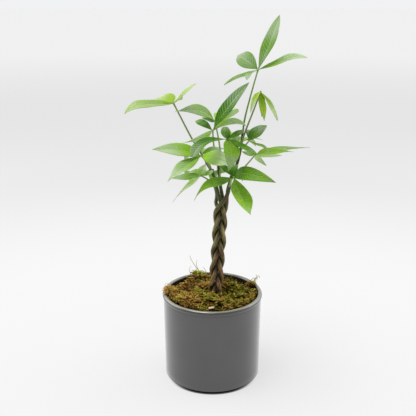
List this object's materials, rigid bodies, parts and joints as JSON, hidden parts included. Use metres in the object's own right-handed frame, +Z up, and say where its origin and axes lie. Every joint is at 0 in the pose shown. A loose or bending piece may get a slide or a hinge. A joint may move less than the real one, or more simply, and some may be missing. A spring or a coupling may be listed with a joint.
{
  "type": "potted money tree",
  "caption": "Small money tree with a plaited trunk and hand-shaped leaves, growing from mossy soil in a plain round ceramic pot that stands on a table or shelf.",
  "frame": {"origin": "centre of the pot's flat base, on the surface that the pot stands on", "axes": "+Z up along the pot's axis; -Y towards the viewer of the picture, +X to the viewer's right"},
  "size_m": [0.2232, 0.1961, 0.457],
  "materials": {
    "ceramic": "matte dark grey glaze with a paler, bare lip",
    "soil": "dark, crumbly potting soil",
    "moss": "matted dry moss, golden brown with olive and green patches",
    "bark": "young bark, brown at the foot and olive green above",
    "leaf": "smooth, slightly glossy green leaf",
    "young_leaf": "smooth yellow green young leaf"
  },
  "bodies": {
    "root": {"pot": "ceramic", "soil": "soil", "moss": "moss", "stem_tall": "bark", "stem_centre": "bark", "stem_right": "bark", "stem_left": "bark", "stem_back": "bark", "leaf_top": "leaf", "leaf_drooping": "young_leaf", "leaf_far_left": "young_leaf", "leaf_high_front": "leaf", "leaf_high_back": "leaf", "leaf_front": "leaf", "leaf_left_front": "leaf", "leaf_left_low": "leaf", "leaf_right_front": "leaf", "leaf_right_high": "leaf", "leaf_far_right": "leaf", "leaf_back_left": "leaf", "leaf_back_right": "leaf", "leaf_back_low": "leaf"}
  },
  "joints": []
}
